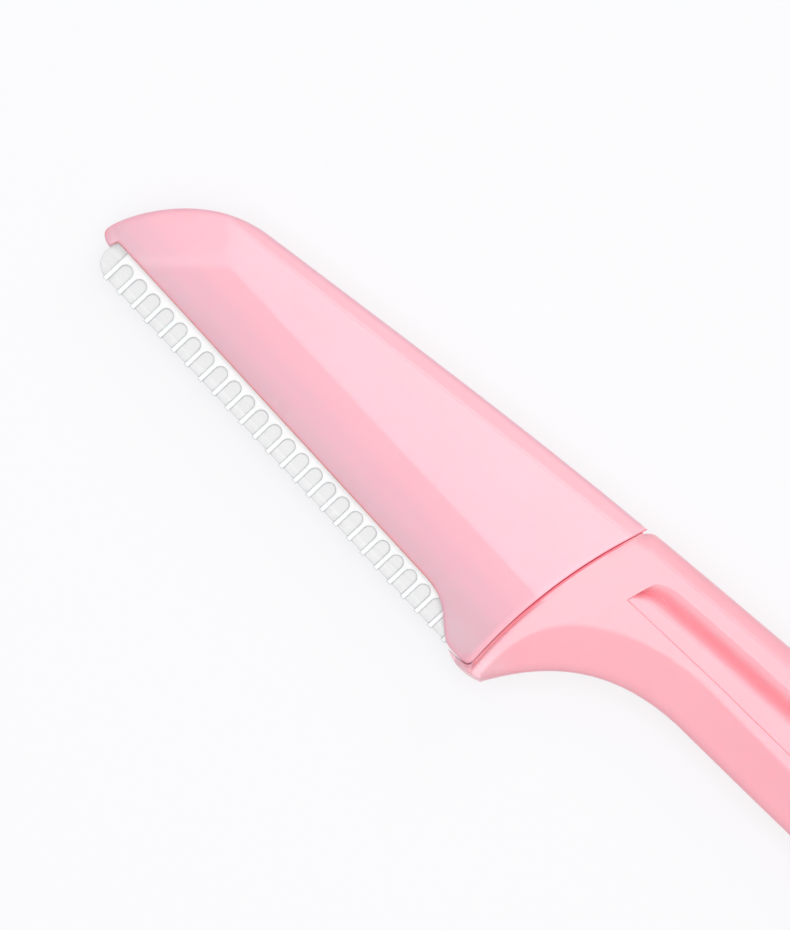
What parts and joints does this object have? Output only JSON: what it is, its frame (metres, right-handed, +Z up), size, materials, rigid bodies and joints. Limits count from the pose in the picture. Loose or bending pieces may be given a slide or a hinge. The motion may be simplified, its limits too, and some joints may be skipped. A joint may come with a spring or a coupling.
{
  "type": "eyebrow razor",
  "caption": "Slim pink eyebrow razor: a steel blade behind a fine white guard comb, held between head covers, on a long bevelled handle; the head pulls off the handle's tongue.",
  "frame": {"origin": "centre of the bounding box at its bottom, on the surface that the razor lies on", "axes": "+X along the handle from the head's nose to the handle's tail, +Y from the cutting edge to the spine, +Z up, out of the broad face"},
  "size_m": [0.148, 0.0192, 0.0056],
  "materials": {
    "handle_plastic": "satin moulded plastic, salmon pink",
    "cover_plastic": "satin moulded plastic, rose pink",
    "blade_steel": "fine brushed stainless steel with a ground edge",
    "comb_plastic": "white moulded plastic"
  },
  "bodies": {
    "handle": {"handle": "handle_plastic"},
    "head": {"front_cover": "cover_plastic", "back_cover": "cover_plastic", "blade": "blade_steel", "guard_comb": "comb_plastic"}
  },
  "joints": [
    {"name": "head_pull_off", "type": "slide", "parent": "handle", "child": "head", "axis": [-1, 0, 0], "range_m": [0, 0.024]}
  ]
}
